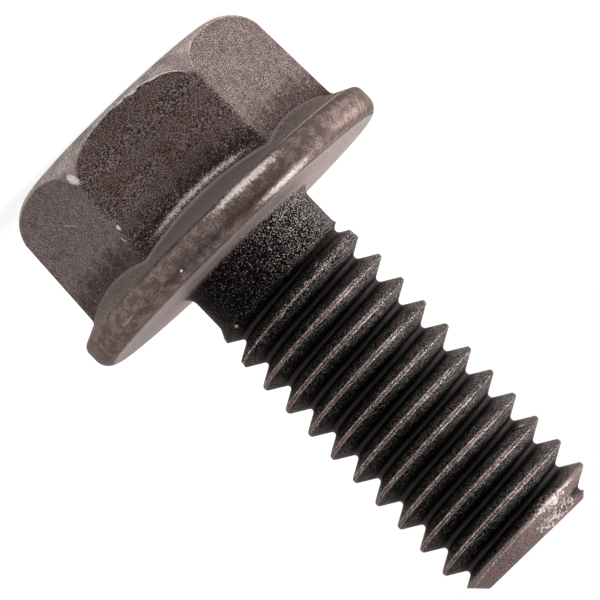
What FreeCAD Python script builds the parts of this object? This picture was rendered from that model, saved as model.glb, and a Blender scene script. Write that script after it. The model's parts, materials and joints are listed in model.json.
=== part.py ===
import FreeCAD, Part
import math
import os
import Sketcher

# Hexagon flange bolt, 5/16 in by 18 threads per inch, 3/4 in long under the head.
# The head is forged and the thread rolled on one length of rod, so the bolt is one solid.
# It stands on its head: the origin is the centre of the head's flat top, +Z runs up the shank
# to the point, and two flats of the hexagon face -Y and +Y.

os.makedirs("parts", exist_ok=True)

NODE = "flange_bolt"

# Driving dimensions in millimetres, angles in degrees
SIZES = {
    # Head, whose height runs from its flat top to the bearing face of the flange
    "head_height": 7.93,
    "across_flats": 12.18,
    "flat_draft": 2.05,
    "corner_radius": 0.35,
    "top_flat_diameter": 11.4,
    "crown_radius": 1.85,
    # Flange, a cone whose rim is broken on both edges
    "flange_diameter": 16.65,
    "rim_thickness": 1.4,
    "flange_slope": 25.5,
    "rim_top_width": 0.24,
    "rim_top_depth": 0.18,
    "rim_foot_width": 0.37,
    "rim_foot_depth": 0.6,
    # Plain neck, left at the diameter of the rod that the thread was rolled on
    "neck_diameter": 6.83,
    "neck_length": 2.08,
    "neck_fillet": 0.6,
    # Swell, where the metal that the dies push up first stands above the neck
    "swell_diameter": 7.27,
    "swell_length": 0.48,
    "lead_in_length": 1.99,
    # Thread, whose first groove is measured from the bearing face on the +X side
    "shank_length": 18.45,
    "major_diameter": 7.74,
    "pitch_length": 1.411,
    "flank_angle": 60,
    "crest_width": 0.176,
    "root_width": 0.225,
    "first_groove": 3.2,
    "run_out_turns": 0.9,
    # Chamfered point
    "point_diameter": 5.7,
    "point_slope": 45,
}

# How far the cutting shapes pass outside the metal
CROWN_CLEARANCE = 0.02
CUT_REACH = 2.0
CUTTER_RISE_SHARE = 0.6

HEXAGON_SIDES = 6
SIDE_TURN = math.radians(360 / HEXAGON_SIDES)
STEEP = math.cos(math.radians(45))

# Heights and radii that follow from the driving dimensions, as expressions on the sheet
SEAT = "sizes.head_height"
RIM_EDGE = f"({SEAT} - sizes.rim_thickness)"
CONE_APEX = f"({RIM_EDGE} - sizes.flange_diameter / 2 * tan(sizes.flange_slope))"
RIM_TOP_INNER = f"({RIM_EDGE} - sizes.rim_top_width * tan(sizes.flange_slope))"
SWELL_START = f"({SEAT} + sizes.neck_length)"
SWELL_END = f"({SWELL_START} + sizes.swell_length)"
FULL_THREAD = f"({SWELL_END} + sizes.lead_in_length)"
BOLT_END = f"({SEAT} + sizes.shank_length)"
POINT_LENGTH = "((sizes.major_diameter - sizes.point_diameter) / 2 / tan(sizes.point_slope))"

CORNER_AT_CROWN = "((sizes.across_flats / 2 + sizes.crown_radius * tan(sizes.flat_draft)) / cos(30))"
CORNER_ROUNDING = "(sizes.corner_radius * (1 / cos(30) - 1))"
CROWN_EDGE = f"({CORNER_AT_CROWN} - {CORNER_ROUNDING} + {CROWN_CLEARANCE})"

HALF_FLANK = "tan(sizes.flank_angle / 2)"
THREAD_DEPTH = f"((sizes.pitch_length - sizes.crest_width - sizes.root_width) / 2 / {HALF_FLANK})"
ROOT_RADIUS = f"(sizes.major_diameter / 2 - {THREAD_DEPTH})"
CUTTER_RISE = f"({CUTTER_RISE_SHARE} * sizes.crest_width / 2 / {HALF_FLANK})"
GROOVE_CENTRE = f"({SEAT} + sizes.first_groove)"
RUN_OUT_LENGTH = "(sizes.run_out_turns * sizes.pitch_length)"


def make_sheet(doc):
    sheet = doc.addObject("Spreadsheet::Sheet", "sizes")
    for row, (alias, value) in enumerate(SIZES.items(), start=1):
        sheet.set(f"A{row}", alias)
        sheet.set(f"B{row}", str(value))
        sheet.setAlias(f"B{row}", alias)
    doc.recompute()


def origin_plane(body, role):
    return next(feature for feature in body.Origin.OriginFeatures if feature.Role == role)


def new_sketch(body, name, role):
    sketch = body.newObject("Sketcher::SketchObject", name)
    sketch.AttachmentSupport = [(origin_plane(body, role), "")]
    sketch.MapMode = "FlatFace"
    return sketch


def value_of(sketch, expression):
    return float(sketch.evalExpression(expression))


def dimension(sketch, name, expression, kind, *where):
    """Adds one dimension to a sketch and binds it to the sheet."""
    index = sketch.addConstraint(Sketcher.Constraint(kind, *where, value_of(sketch, expression)))
    sketch.renameConstraint(index, name)
    sketch.setExpression(f"Constraints.{name}", expression)


def round_corner(sketch, line, name, rounding):
    """Rounds the corner where a line starts and returns the point that keeps the sharp corner."""
    arc = sketch.GeometryCount
    sketch.fillet(line, 1, value_of(sketch, rounding), True, True)
    dimension(sketch, f"{name}_rounding", rounding, "Radius", arc)
    return arc + 1


def draw_outline(sketch, corners):
    """Draws a closed outline through named corners, each (radius, height) or, where the corner
    is rounded, (radius, height, rounding). A corner with radius "0" lies on the axis."""
    points = [
        FreeCAD.Vector(value_of(sketch, corner[0]), value_of(sketch, corner[1]), 0)
        for corner in corners.values()
    ]
    for start, end in zip(points, points[1:] + points[:1]):
        sketch.addGeometry(Part.LineSegment(start, end), False)
    count = len(points)
    for line in range(count):
        sketch.addConstraint(Sketcher.Constraint("Coincident", line, 2, (line + 1) % count, 1))
    for line, (name, (radius, height, *rounding)) in enumerate(corners.items()):
        spot = round_corner(sketch, line, name, *rounding) if rounding else line
        if radius == "0":
            sketch.addConstraint(Sketcher.Constraint("PointOnObject", spot, 1, -2))
        else:
            dimension(sketch, f"{name}_radius", radius, "DistanceX", -1, 1, spot, 1)
        dimension(sketch, f"{name}_height", height, "DistanceY", -1, 1, spot, 1)


def edge_names(shape, wanted):
    """Names of the edges of a shape for which wanted(edge) is true."""
    return [f"Edge{number}" for number, edge in enumerate(shape.Edges, start=1) if wanted(edge)]


def round_edges(doc, body, name, wanted, radius):
    """Rounds the edges of the body's last feature for which wanted(edge) is true."""
    base = body.Tip
    names = edge_names(base.Shape, wanted)
    if not names:
        raise RuntimeError(f"{name}: no edge found")
    fillet = body.newObject("PartDesign::Fillet", name)
    fillet.Base = (base, names)
    fillet.setExpression("Radius", radius)
    doc.recompute()


def make_blank(doc, body):
    """Flange with its rim edges broken, neck with its fillet, and plain shank, about the axis."""
    section = new_sketch(body, "blank_section", "XZ_Plane")
    flange = "sizes.flange_diameter / 2"
    neck = "sizes.neck_diameter / 2"
    major = "sizes.major_diameter / 2"
    draw_outline(
        section,
        {
            "apex": ("0", CONE_APEX),
            "rim_top_inner": (f"{flange} - sizes.rim_top_width", RIM_TOP_INNER),
            "rim_top_outer": (flange, f"{RIM_EDGE} + sizes.rim_top_depth"),
            "rim_foot_outer": (flange, f"{SEAT} - sizes.rim_foot_depth"),
            "rim_foot_inner": (f"{flange} - sizes.rim_foot_width", SEAT),
            "neck_foot": (neck, SEAT, "sizes.neck_fillet"),
            "neck_end": (neck, SWELL_START),
            "swell": ("sizes.swell_diameter / 2", SWELL_END),
            "full_thread": (major, FULL_THREAD),
            "point_start": (major, f"{BOLT_END} - {POINT_LENGTH}"),
            "point_end": ("sizes.point_diameter / 2", BOLT_END),
            "end_centre": ("0", BOLT_END),
        },
    )
    doc.recompute()
    blank = body.newObject("PartDesign::Revolution", "blank")
    blank.Profile = section
    blank.ReferenceAxis = (section, ["V_Axis"])
    blank.Angle = 360
    doc.recompute()


def draw_hexagon(sketch, across_flats):
    """A hexagon about the origin with corners on the X axis."""
    circumradius = f"({across_flats}) / 2 / cos(30)"
    radius = value_of(sketch, circumradius)
    corners = [
        FreeCAD.Vector(radius * math.cos(SIDE_TURN * corner), radius * math.sin(SIDE_TURN * corner), 0)
        for corner in range(HEXAGON_SIDES)
    ]
    for start, end in zip(corners, corners[1:] + corners[:1]):
        sketch.addGeometry(Part.LineSegment(start, end), False)
    circle = sketch.addGeometry(Part.Circle(FreeCAD.Vector(), FreeCAD.Vector(0, 0, 1), radius), True)
    sketch.addConstraint(Sketcher.Constraint("Coincident", circle, 3, -1, 1))
    for line in range(HEXAGON_SIDES):
        sketch.addConstraint(Sketcher.Constraint("Coincident", line, 2, (line + 1) % HEXAGON_SIDES, 1))
        sketch.addConstraint(Sketcher.Constraint("PointOnObject", line, 1, circle))
    for line in range(1, HEXAGON_SIDES):
        sketch.addConstraint(Sketcher.Constraint("Equal", 0, line))
    sketch.addConstraint(Sketcher.Constraint("PointOnObject", 0, 1, -1))
    dimension(sketch, "circumradius", circumradius, "Radius", circle)


def is_side(face):
    """A test for the six flats."""
    return abs(face.normalAt(0, 0).z) < STEEP


def is_corner(edge):
    """A test for the six corner edges between the flats."""
    return abs(edge.tangentAt(edge.FirstParameter).z) > STEEP


def make_hexagon(doc, body):
    """Hexagon of the head, drafted wider toward the flange, with its six corners rounded."""
    section = new_sketch(body, "hexagon_section", "XY_Plane")
    draw_hexagon(section, "sizes.across_flats")
    doc.recompute()
    hexagon = body.newObject("PartDesign::Pad", "hexagon")
    hexagon.Profile = section
    hexagon.setExpression("Length", RIM_EDGE)
    doc.recompute()
    draft = body.newObject("PartDesign::Draft", "forging_draft")
    sides = [f"Face{number}" for number, face in enumerate(hexagon.Shape.Faces, start=1) if is_side(face)]
    draft.Base = (hexagon, sides)
    draft.NeutralPlane = (origin_plane(body, "XY_Plane"), [""])
    draft.Reversed = True
    draft.setExpression("Angle", "sizes.flat_draft")
    doc.recompute()
    round_edges(doc, body, "corner_rounds", is_corner, "sizes.corner_radius")


def check_cut(feature, before):
    """Stops the build if a feature that takes metal away left the volume as it was before."""
    if not feature.Shape.Volume < before:
        raise RuntimeError(f"{feature.Name}: cut nothing")


def make_crown(doc, body):
    """Rounds the top of the hexagon about the axis, which leaves an arc at the top of each flat."""
    section = new_sketch(body, "crown_cut_section", "XZ_Plane")
    edge = value_of(section, CROWN_EDGE)
    radius = value_of(section, "sizes.crown_radius")
    flat = value_of(section, "sizes.top_flat_diameter / 2")
    depth = math.sqrt(radius**2 - (flat - edge + radius) ** 2)
    centre = FreeCAD.Vector(edge - radius, depth, 0)
    crown = Part.Circle(centre, FreeCAD.Vector(0, 0, 1), radius)
    section.addGeometry(Part.ArcOfCircle(crown, math.atan2(-depth, flat - centre.x), 0), False)
    corners = [
        FreeCAD.Vector(edge, depth, 0),
        FreeCAD.Vector(edge + CUT_REACH, depth, 0),
        FreeCAD.Vector(edge + CUT_REACH, -CUT_REACH, 0),
        FreeCAD.Vector(flat, -CUT_REACH, 0),
        FreeCAD.Vector(flat, 0, 0),
    ]
    for start, end in zip(corners, corners[1:]):
        section.addGeometry(Part.LineSegment(start, end), False)
    arc, below, outside, above, inside = range(5)
    join = [(arc, 2, below, 1), (below, 2, outside, 1), (outside, 2, above, 1), (above, 2, inside, 1)]
    for ends in join + [(inside, 2, arc, 1)]:
        section.addConstraint(Sketcher.Constraint("Coincident", *ends))
    section.addConstraint(Sketcher.Constraint("Horizontal", below))
    section.addConstraint(Sketcher.Constraint("Vertical", outside))
    section.addConstraint(Sketcher.Constraint("Horizontal", above))
    section.addConstraint(Sketcher.Constraint("Vertical", inside))
    section.addConstraint(Sketcher.Constraint("PointOnObject", arc, 1, -1))
    section.addConstraint(Sketcher.Constraint("Horizontal", arc, 3, arc, 2))
    dimension(section, "crown_radius", "sizes.crown_radius", "Radius", arc)
    dimension(section, "crown_edge", CROWN_EDGE, "DistanceX", -1, 1, arc, 2)
    dimension(section, "top_flat", "sizes.top_flat_diameter / 2", "DistanceX", -1, 1, arc, 1)
    dimension(section, "reach_out", str(CUT_REACH), "DistanceX", below, 1, below, 2)
    dimension(section, "reach_up", str(CUT_REACH), "DistanceY", inside, 1, inside, 2)
    doc.recompute()
    before = body.Tip.Shape.Volume
    crown_cut = body.newObject("PartDesign::Groove", "crown_cut")
    crown_cut.Profile = section
    crown_cut.ReferenceAxis = (section, ["V_Axis"])
    crown_cut.Angle = 360
    doc.recompute()
    check_cut(crown_cut, before)


def groove_section(doc, body, name):
    """Section of the thread groove: two flanks and a narrow root, open past the crests."""
    section = new_sketch(body, name, "XZ_Plane")
    open_radius = f"sizes.major_diameter / 2 + {CUTTER_RISE}"
    open_half = f"((sizes.pitch_length - sizes.crest_width) / 2 + {CUTTER_RISE} * {HALF_FLANK})"
    root_half = "sizes.root_width / 2"
    draw_outline(
        section,
        {
            "lower_lip": (open_radius, f"{GROOVE_CENTRE} - {open_half}"),
            "lower_root": (ROOT_RADIUS, f"{GROOVE_CENTRE} - {root_half}"),
            "upper_root": (ROOT_RADIUS, f"{GROOVE_CENTRE} + {root_half}"),
            "upper_lip": (open_radius, f"{GROOVE_CENTRE} + {open_half}"),
        },
    )
    doc.recompute()
    return section


def cut_helix(doc, body, name, section, length, cone_angle, toward_head):
    """Sweeps a groove section along a right-handed helix and takes it out of the body."""
    before = body.Tip.Shape.Volume
    helix = body.newObject("PartDesign::SubtractiveHelix", name)
    helix.Profile = section
    helix.ReferenceAxis = (section, ["V_Axis"])
    helix.Mode = "pitch-height-angle"
    helix.LeftHanded = False
    helix.Reversed = toward_head
    helix.setExpression("Pitch", "sizes.pitch_length")
    helix.setExpression("Height", length)
    helix.setExpression("Angle", cone_angle)
    doc.recompute()
    check_cut(helix, before)


def make_thread(doc, body):
    """Full-depth groove to the point, and the run-out where the groove climbs out to the neck."""
    to_point = "sizes.shank_length - sizes.first_groove + sizes.pitch_length"
    climb = f"(sizes.swell_diameter / 2 - {ROOT_RADIUS})"
    climb_angle = f"atan({climb} / {RUN_OUT_LENGTH})"
    full_groove = groove_section(doc, body, "groove_section")
    cut_helix(doc, body, "thread", full_groove, to_point, "0", False)
    fading_groove = groove_section(doc, body, "run_out_section")
    cut_helix(doc, body, "run_out", fading_groove, RUN_OUT_LENGTH, climb_angle, True)


def make_bolt(doc):
    body = doc.addObject("PartDesign::Body", NODE)
    body.Label = NODE
    doc.recompute()
    make_hexagon(doc, body)
    make_crown(doc, body)
    make_blank(doc, body)
    make_thread(doc, body)
    body.Placement = FreeCAD.Placement()
    doc.recompute()
    return body


def check(doc, body):
    """Stops the build if any object failed or the bolt isn't one sound solid."""
    for item in doc.Objects:
        if "Invalid" in item.State or "Error" in item.State:
            raise RuntimeError(f"{item.Name}: {item.State}")
    shape = body.Shape
    if shape.isNull() or not shape.isValid():
        raise RuntimeError(f"{body.Label}: bad shape")
    if len(shape.Solids) != 1:
        raise RuntimeError(f"{body.Label}: {len(shape.Solids)} solids")


document = FreeCAD.newDocument("flange_bolt_model")
make_sheet(document)
bolt = make_bolt(document)
check(document, bolt)
bolt.Shape.exportStep(os.path.join("parts", f"{bolt.Label}.step"))
print(f"{bolt.Label}: volume {bolt.Shape.Volume:.1f} mm3, faces {len(bolt.Shape.Faces)}")
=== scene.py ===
# %% [markdown]
# # A forged flange bolt
#
# This lesson dresses a short hexagon flange bolt: a forged head with a wide conical flange, a plain
# neck, a rolled thread and a chamfered point, all one piece of steel under a thin dark oxide.
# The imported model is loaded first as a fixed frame. It gives every size that the looks have to keep,
# so nothing has to be scaled or fitted by eye afterwards.

# %% Load the frame
import json
import math
import random

import bmesh
import bpy
from mathutils import Matrix, Vector


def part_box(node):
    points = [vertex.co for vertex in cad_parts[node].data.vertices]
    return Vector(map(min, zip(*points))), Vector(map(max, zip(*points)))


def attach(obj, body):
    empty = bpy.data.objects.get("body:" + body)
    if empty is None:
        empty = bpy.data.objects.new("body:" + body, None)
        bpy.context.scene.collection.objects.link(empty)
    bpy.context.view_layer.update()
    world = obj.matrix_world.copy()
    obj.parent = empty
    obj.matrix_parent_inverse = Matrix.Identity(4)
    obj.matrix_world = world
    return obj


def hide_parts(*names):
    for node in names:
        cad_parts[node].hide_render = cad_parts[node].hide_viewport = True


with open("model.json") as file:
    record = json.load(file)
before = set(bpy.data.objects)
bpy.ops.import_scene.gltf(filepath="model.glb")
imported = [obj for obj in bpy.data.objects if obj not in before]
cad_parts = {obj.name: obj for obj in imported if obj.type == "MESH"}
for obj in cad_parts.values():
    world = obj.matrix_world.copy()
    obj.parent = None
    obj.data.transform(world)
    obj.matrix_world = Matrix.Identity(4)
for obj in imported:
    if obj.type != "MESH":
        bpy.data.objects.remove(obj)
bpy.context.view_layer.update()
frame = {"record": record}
scene = bpy.context.scene
MM = 0.001
node_low, node_high = (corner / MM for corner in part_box("flange_bolt"))
print("frame box in mm:", [round(value, 2) for value in (*node_low, *node_high)])

# %% [markdown]
# ## Sizes
#
# On a workshop drawing each form has its own dimension, so each has its own name here, in millimetres.
# The outside sizes are read from the frame. The others are the drawing's: the hexagon and its forging
# draft, the roundings that a forging die leaves, and the thread, which has 18 turns to the inch.

# %% Sizes of the bolt
FLANGE_RADIUS = node_high.y
BOLT_END = node_high.z
BEARING_FACE = frame["record"]["mounts"][0]["pos_m"][2] / MM

# The hexagon and its crown.
SIDE_TURN = math.pi / 3
CORNER_TO_FLAT = math.pi / 6
ACROSS_FLATS = 12.18
DRAFT = math.radians(2.05)
CORNER_ROUND = 0.35
TOP_FLAT = 5.68
CROWN_ROUND = 1.85
CROWN_CENTRE = Vector((5.22, 1.787))

# The flange.
FLANGE_SLOPE = math.radians(25.5)
RIM_EDGE = BEARING_FACE - 1.4
RIM_TOP_ROUND = 0.4
RIM_FOOT_ROUND = 0.7
FOOT_FILLET = 0.38
ARC_EDGE_ROUND = 0.07

# The neck, the swell toward the thread, and the point.
NECK_RADIUS = 3.415
NECK_END = BEARING_FACE + 2.08
NECK_FILLET = 0.6
SWELL_RADIUS = 3.635
SWELL_TOP = BEARING_FACE + 2.56
SWELL_ROUND = 0.5
FULL_THREAD = BEARING_FACE + 4.55
CREST_RADIUS = 3.87
POINT_RADIUS = 2.85
POINT_START = BOLT_END - (CREST_RADIUS - POINT_RADIUS)
POINT_ROUND = 0.15

# The thread.
PITCH = 25.4 / 18
HALF_FLANK = math.radians(30)
CREST_WIDTH = 0.176
ROOT_ROUND = 0.195
FIRST_GROOVE = BEARING_FACE + 3.2
RUN_OUT_TURNS = 0.9
print("pitch", round(PITCH, 3), "mm, length under the head", round(BOLT_END - BEARING_FACE, 2), "mm")

# %% [markdown]
# ## Camera
#
# The photograph looks at the bolt square to its shank, from 0.35 m away and a little to the point's
# side, so the underside of the flange just shows. The bolt lies across the picture in it, and here it
# stands on its head. So the camera, and not the bolt, is rolled: its up direction is set to the
# direction on the bolt that is up in the picture.

# %% Camera at the photograph's viewing angle
CAMERA_DISTANCE = 347
CAMERA_RISE = math.radians(2.6)
AIM = Vector((0.04, 0, 11.51))
FRAME_WIDTH = 26.3
SENSOR = 36
POINT_BELOW_HORIZONTAL = math.radians(46)

toward_camera = Vector((0, -math.cos(CAMERA_RISE), math.sin(CAMERA_RISE)))
picture_up = Vector((-math.cos(POINT_BELOW_HORIZONTAL), 0, -math.sin(POINT_BELOW_HORIZONTAL)))
picture_right = picture_up.cross(toward_camera).normalized()
picture_up = toward_camera.cross(picture_right)

camera_data = bpy.data.cameras.new("camera")
camera_data.sensor_width = SENSOR
camera_data.lens = SENSOR * CAMERA_DISTANCE / FRAME_WIDTH
camera_data.clip_start = 0.01
camera = bpy.data.objects.new("camera", camera_data)
scene.collection.objects.link(camera)
axes = Matrix((picture_right, picture_up, toward_camera)).transposed().to_4x4()
camera.matrix_world = Matrix.Translation((AIM + toward_camera * CAMERA_DISTANCE) * MM) @ axes
scene.camera = camera
print("lens", round(camera_data.lens), "mm")

# %% [markdown]
# ## Node helper and colours
#
# Every material below is built from nodes. One small function adds a node, sets its sockets and wires
# what comes in, so that a material reads as a list of what it does. Colours are written as they look
# on a screen, as hex values, and one function turns them to the linear values that light is added in.


# %% Helper for colours
def colour(hex_value):
    """A screen colour as linear red, green, blue and opacity."""
    parts = [int(hex_value[place:place + 2], 16) / 255 for place in (1, 3, 5)]
    linear = [part / 12.92 if part <= 0.04045 else ((part + 0.055) / 1.055) ** 2.4 for part in parts]
    return (*linear, 1)


print("mid grey in linear values:", [round(value, 3) for value in colour("#808080")])


# %% Helper for nodes
def add_node(tree, kind, settings=None, **sockets):
    """Adds a node. Settings are its own values. A socket takes a value, a node or a node's output."""
    node = tree.nodes.new(kind)
    for name, value in (settings or {}).items():
        setattr(node, name, value)
    for name, value in sockets.items():
        label = name.replace("_", " ")
        if label[1:].isdigit():
            socket = node.inputs[int(label[1:])]
        else:
            socket = next(item for item in node.inputs if item.enabled and item.name == label)
        if isinstance(value, bpy.types.Node):
            value = next(item for item in value.outputs if item.enabled)
        if isinstance(value, bpy.types.NodeSocket):
            tree.links.new(value, socket)
        else:
            socket.default_value = value
    return node


# The kinds of node and the settings that come back most.
MATH = "ShaderNodeMath"
VECTOR = "ShaderNodeVectorMath"
RANGE = "ShaderNodeMapRange"
MIX = "ShaderNodeMix"
SMOOTH = {"interpolation_type": "SMOOTHSTEP"}
COLOURS = {"data_type": "RGBA"}
NUMBERS = {"data_type": "FLOAT"}
LARGER = {"operation": "MAXIMUM"}
ADD = {"operation": "ADD"}
MULTIPLY = {"operation": "MULTIPLY"}
MULTIPLY_ADD = {"operation": "MULTIPLY_ADD"}
PINGPONG = {"operation": "PINGPONG"}
DISTANCE = {"operation": "DISTANCE"}
LENGTH = {"operation": "LENGTH"}
print("short names stand for", MATH, VECTOR, RANGE, MIX)

# %% [markdown]
# ## Floor, backdrop and light
#
# The photograph was taken in a white light tent. What the bolt's sides mirror is white cloth, and what
# its front mirrors is the dim side where the camera stands, which is why the front flat looks dark and
# the right one pale. The world repeats that: a white room that gets dimmer toward the camera's side.
# The floor is white paper. It also glows for the camera and for what the steel mirrors, so that it
# looks nearly as white as the tent.

# %% Floor
FLOOR_SIZE = 2.0
PAPER_GLOW = 0.85


def white_paper():
    """Matt white paper: it has no gloss and keeps the soft shadow where the bolt stands."""
    material = bpy.data.materials.new("white_paper")
    material.use_nodes = True
    tree = material.node_tree
    tree.nodes.clear()
    paper = add_node(tree, "ShaderNodeBsdfDiffuse", Color=colour("#828282"))
    path = add_node(tree, "ShaderNodeLightPath")
    camera_or_gloss = add_node(tree, MATH, LARGER, _0=path.outputs["Is Camera Ray"],
                               _1=path.outputs["Is Glossy Ray"])
    seen = add_node(tree, MATH, LARGER, _0=camera_or_gloss, _1=path.outputs["Is Transmission Ray"])
    lift = add_node(tree, MATH, MULTIPLY, _0=seen, _1=PAPER_GLOW)
    glow = add_node(tree, "ShaderNodeEmission", Color=(1, 1, 1, 1), Strength=lift)
    both = add_node(tree, "ShaderNodeAddShader", _0=paper, _1=glow)
    add_node(tree, "ShaderNodeOutputMaterial", Surface=both)
    return material


bpy.ops.object.select_all(action="DESELECT")
bpy.ops.mesh.primitive_plane_add(size=FLOOR_SIZE, location=(0, 0, 0))
floor = bpy.context.object
floor.name = "floor"
floor.data.materials.append(white_paper())
print("floor", FLOOR_SIZE, "m wide at the height of the head's top")


# %% World and lamps
def tent_world():
    """White cloth all round, dim on the side where the camera stands."""
    world = bpy.data.worlds.new("light_tent")
    world.use_nodes = True
    tree = world.node_tree
    tree.nodes.clear()
    place = add_node(tree, "ShaderNodeTexCoord").outputs["Generated"]
    way = add_node(tree, "ShaderNodeSeparateXYZ", Vector=place)
    front = add_node(tree, RANGE, SMOOTH, Value=way.outputs["Y"], From_Min=-0.95, From_Max=0.1, To_Min=0.06,
                     To_Max=1.0)
    side = add_node(tree, RANGE, SMOOTH, Value=way.outputs["X"], From_Min=-0.6, From_Max=0.8, To_Min=1.0,
                    To_Max=0.85)
    cloth = add_node(tree, MATH, MULTIPLY, _0=front, _1=side)
    seen = add_node(tree, "ShaderNodeLightPath").outputs["Is Camera Ray"]
    strength = add_node(tree, MIX, NUMBERS, Factor=seen, A=cloth, B=1.0)
    cloth_light = add_node(tree, "ShaderNodeBackground", Color=(1, 1, 1, 1), Strength=strength)
    add_node(tree, "ShaderNodeOutputWorld", Surface=cloth_light)
    return world


def add_lamp(name, place, target, size, power):
    """A square soft lamp that looks at a target, all in millimetres."""
    lamp_data = bpy.data.lights.new(name, "AREA")
    lamp_data.size = size * MM
    lamp_data.energy = power
    lamp = bpy.data.objects.new(name, lamp_data)
    scene.collection.objects.link(lamp)
    place, target = Vector(place), Vector(target)
    facing = (place - target).to_track_quat("Z", "Y").to_matrix().to_4x4()
    lamp.matrix_world = Matrix.Translation(place * MM) @ facing


scene.world = tent_world()
MIDDLE = (0, 0, 12)
add_lamp("right_lamp", place=(-850, 430, 200), target=MIDDLE, size=700, power=6.5)
add_lamp("top_lamp", place=(-500, -250, 800), target=MIDDLE, size=400, power=4.0)
scene.view_settings.view_transform = "Standard"

# %% [markdown]
# ## The blank: head, flange, neck and shank
#
# A header forges the head from plain rod, and the shank stays round until the thread is rolled. The
# blank could be a hexagon and a disc joined by a Boolean, but the small fillet where the flats run into
# the flange would then be hard to make. So it is drawn as a pot is thrown: a ring of points is extruded
# again and again, from the middle of the head's top to the middle of the point. Each column of points
# keeps its direction from the axis, and follows the bolt's outline in that direction. The outline's
# corners are rounded by true arcs, so the rows of faces lie along every edge that catches the light.


# %% Helpers for an outline
def between(start, end, pieces):
    """Points that divide the way from start to end, without its two ends."""
    return [start.lerp(end, step / pieces) for step in range(1, pieces)]


def arc(centre, start, end, pieces):
    """Points of the arc about a centre from one point to another, with both ends."""
    arm = start - centre
    swing = arm.angle_signed(end - centre)
    return [centre + Matrix.Rotation(-swing * step / pieces, 2) @ arm for step in range(pieces + 1)]


def rounded(before, corner, after, radius, pieces):
    """Points of the arc that rounds a corner."""
    back = (before - corner).normalized()
    on = (after - corner).normalized()
    half = back.angle(on) / 2
    centre = corner + (back + on).normalized() * radius / math.sin(half)
    tangent = radius / math.tan(half)
    return arc(centre, corner + back * tangent, corner + on * tangent, pieces)


print("a quarter circle in 3 pieces:", arc(Vector((0, 0)), Vector((1, 0)), Vector((0, 1)), 3))


# %% The hexagon, the crown and the cone
def hexagon_radius(turn, height):
    """Distance from the axis to the drafted hexagon with its rounded corners."""
    flat = ACROSS_FLATS / 2 + height * math.tan(DRAFT)
    off_corner = abs((turn + CORNER_TO_FLAT) % SIDE_TURN - CORNER_TO_FLAT)
    corner_centre = (flat - CORNER_ROUND) / math.cos(CORNER_TO_FLAT)
    arc_end = math.atan2(CORNER_ROUND / 2, corner_centre + CORNER_ROUND * math.cos(CORNER_TO_FLAT))
    # Near a corner the outline is the corner's arc. Elsewhere it is the flat.
    if off_corner < arc_end:
        off_centre = corner_centre * math.sin(off_corner)
        return corner_centre * math.cos(off_corner) + math.sqrt(CORNER_ROUND**2 - off_centre**2)
    return flat / math.cos(CORNER_TO_FLAT - off_corner)


def crown_radius(height):
    """Distance from the axis to the crown's arc."""
    return CROWN_CENTRE.x + math.sqrt(CROWN_ROUND**2 - (CROWN_CENTRE.y - height) ** 2)


def cone_height(radius):
    """Height of the flange's cone at a distance from the axis."""
    return RIM_EDGE - (FLANGE_RADIUS - radius) * math.tan(FLANGE_SLOPE)


print("corner at the top:", round(hexagon_radius(0, 0), 2), "mm from the axis")


# %% Where the forms meet
HALVINGS = 30


def crown_meets_flat(turn):
    """The point where the crown's arc passes out of the hexagon, found by halving."""
    low, high = 0.0, CROWN_CENTRE.y
    for _ in range(HALVINGS):
        middle = (low + high) / 2
        if crown_radius(middle) < hexagon_radius(turn, middle):
            low = middle
        else:
            high = middle
    return Vector((hexagon_radius(turn, low), low))


def flat_meets_cone(turn):
    """The point where the hexagon reaches the flange, found by going from one to the other and back."""
    height = RIM_EDGE
    for _ in range(HALVINGS):
        height = cone_height(hexagon_radius(turn, height))
    return Vector((hexagon_radius(turn, height), height))


print("a flat starts", round(crown_meets_flat(CORNER_TO_FLAT).y, 2), "mm from the top")

# %% Rows of faces on each form of the head
TOP_SHARES = (0.25, 0.5, 0.75, 0.93)
CROWN_ROWS = 14
ARC_EDGE_ROWS = 3
FLAT_ROWS = 14
FOOT_ROWS = 6
CONE_ROWS = 5
RIM_TOP_ROWS = 8
RIM_ROWS = 3
RIM_FOOT_ROWS = 10


def head_outline(turn):
    """Outline of the head and flange in one direction, as points (radius, height)."""
    edge = crown_meets_flat(turn)
    foot = flat_meets_cone(turn)
    rim_top = Vector((FLANGE_RADIUS, RIM_EDGE))
    rim_foot = Vector((FLANGE_RADIUS, BEARING_FACE))
    neck_foot = Vector((NECK_RADIUS, BEARING_FACE))
    crown = arc(CROWN_CENTRE, Vector((TOP_FLAT, 0)), edge, CROWN_ROWS)[:-1]
    arc_edge = rounded(crown[-1], edge, foot, ARC_EDGE_ROUND, ARC_EDGE_ROWS)
    foot_arc = rounded(edge, foot, rim_top, FOOT_FILLET, FOOT_ROWS)
    rim_top_arc = rounded(foot, rim_top, rim_foot, RIM_TOP_ROUND, RIM_TOP_ROWS)
    rim_foot_arc = rounded(rim_top, rim_foot, neck_foot, RIM_FOOT_ROUND, RIM_FOOT_ROWS)
    points = [Vector((TOP_FLAT * share, 0)) for share in TOP_SHARES]
    points += crown[:-1]
    points += arc_edge + between(arc_edge[-1], foot_arc[0], FLAT_ROWS)
    points += foot_arc + between(foot_arc[-1], rim_top_arc[0], CONE_ROWS)
    points += rim_top_arc + between(rim_top_arc[-1], rim_foot_arc[0], RIM_ROWS)
    return points + rim_foot_arc


print("rows of the head:", len(head_outline(0)))

# %% Rows of faces on each form of the shank
UNDERSIDE_ROWS = 5
NECK_FILLET_ROWS = 8
NECK_ROWS = 3
SWELL_ROWS = 4
SHANK_ROWS = 3
CHAMFER_ROWS = 3
POINT_ROUND_ROWS = 4
END_SHARES = (0.6, 0.3)


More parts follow.
